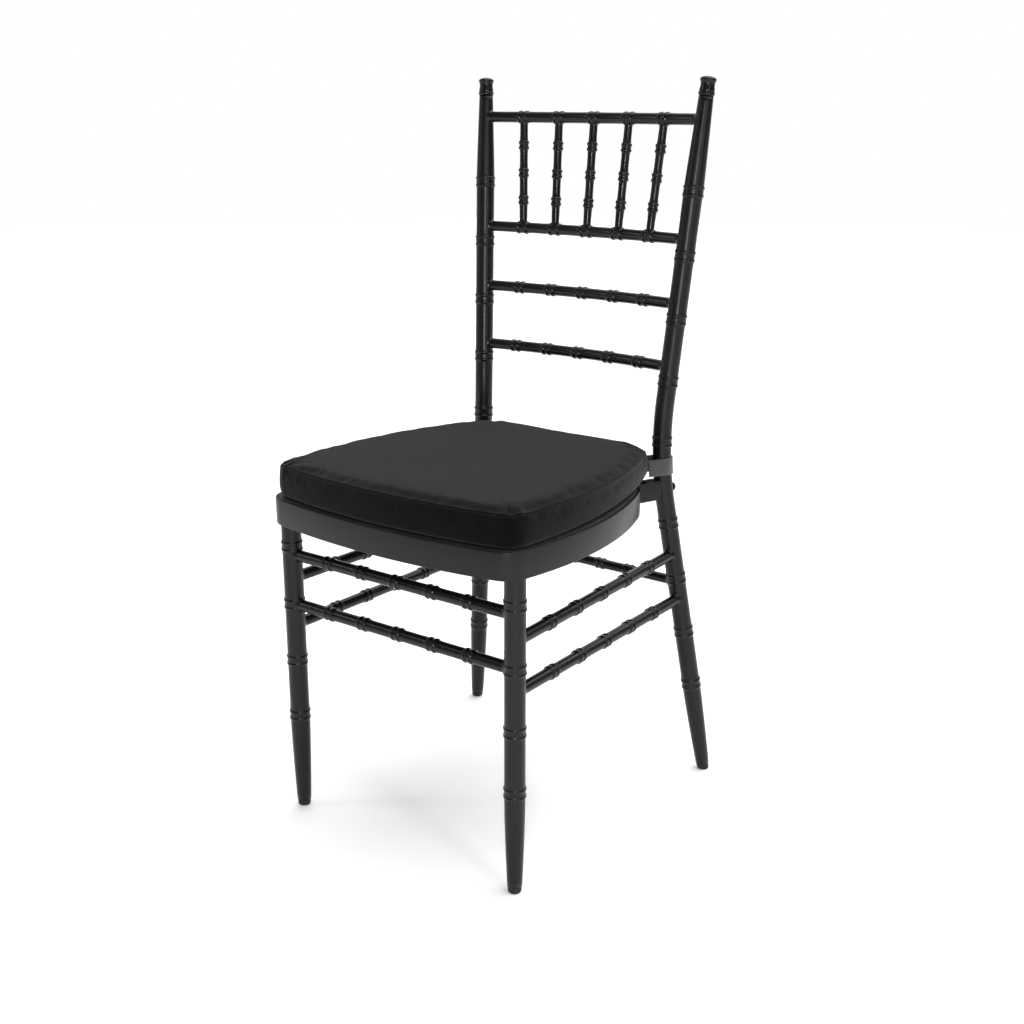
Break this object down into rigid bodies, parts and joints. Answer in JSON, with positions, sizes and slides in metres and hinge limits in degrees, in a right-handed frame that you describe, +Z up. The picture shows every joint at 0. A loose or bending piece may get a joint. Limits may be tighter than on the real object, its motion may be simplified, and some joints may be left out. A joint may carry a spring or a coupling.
{
  "type": "chiavari chair",
  "caption": "Black steel chiavari chair with bamboo-ringed tubes, bowed back rails, turned spindles and a strapped charcoal seat cushion.",
  "frame": {"origin": "centre of the chair's bounding box on the floor", "axes": "+Z up, the chair faces -Y, +X to the right of a viewer in front of it"},
  "size_m": [0.417, 0.4539, 0.9207],
  "materials": {
    "black_coat": "satin",
    "cushion_fabric": "plain weave",
    "strap_web": "woven elastic",
    "glide_plastic": "matte",
    "board_wood": "black stained plywood",
    "zinc_steel": "zinc plated"
  },
  "bodies": {
    "root": {"back_post_left": "black_coat", "back_post_right": "black_coat", "cushion": "cushion_fabric", "cushion_strap_left": "strap_web", "cushion_strap_right": "strap_web", "finial_left": "black_coat", "finial_right": "black_coat", "foot_glide_front_left": "glide_plastic", "foot_glide_front_right": "glide_plastic", "foot_glide_rear_left": "glide_plastic", "foot_glide_rear_right": "glide_plastic", "front_leg_left": "black_coat", "front_leg_right": "black_coat", "front_stretcher_lower": "black_coat", "front_stretcher_upper": "black_coat", "ladder_rail_lower": "black_coat", "ladder_rail_upper": "black_coat", "rear_stretcher": "black_coat", "seat_apron": "black_coat", "seat_board": "board_wood", "seat_bolt_left": "zinc_steel", "seat_bolt_right": "zinc_steel", "seat_nut_left": "zinc_steel", "seat_nut_right": "zinc_steel", "seat_screw_back": "zinc_steel", "seat_screw_front": "zinc_steel", "seat_screw_left": "zinc_steel", "seat_screw_right": "zinc_steel", "seat_spacer_left": "black_coat", "seat_spacer_right": "black_coat", "seat_tab_back": "black_coat", "seat_tab_front": "black_coat", "seat_tab_left": "black_coat", "seat_tab_right": "black_coat", "side_stretcher_lower_left": "black_coat", "side_stretcher_lower_right": "black_coat", "side_stretcher_upper_left": "black_coat", "side_stretcher_upper_right": "black_coat", "spindle_1": "black_coat", "spindle_2": "black_coat", "spindle_3": "black_coat", "spindle_4": "black_coat", "spindle_5": "black_coat", "spindle_rail": "black_coat", "top_rail": "black_coat"}
  },
  "joints": []
}
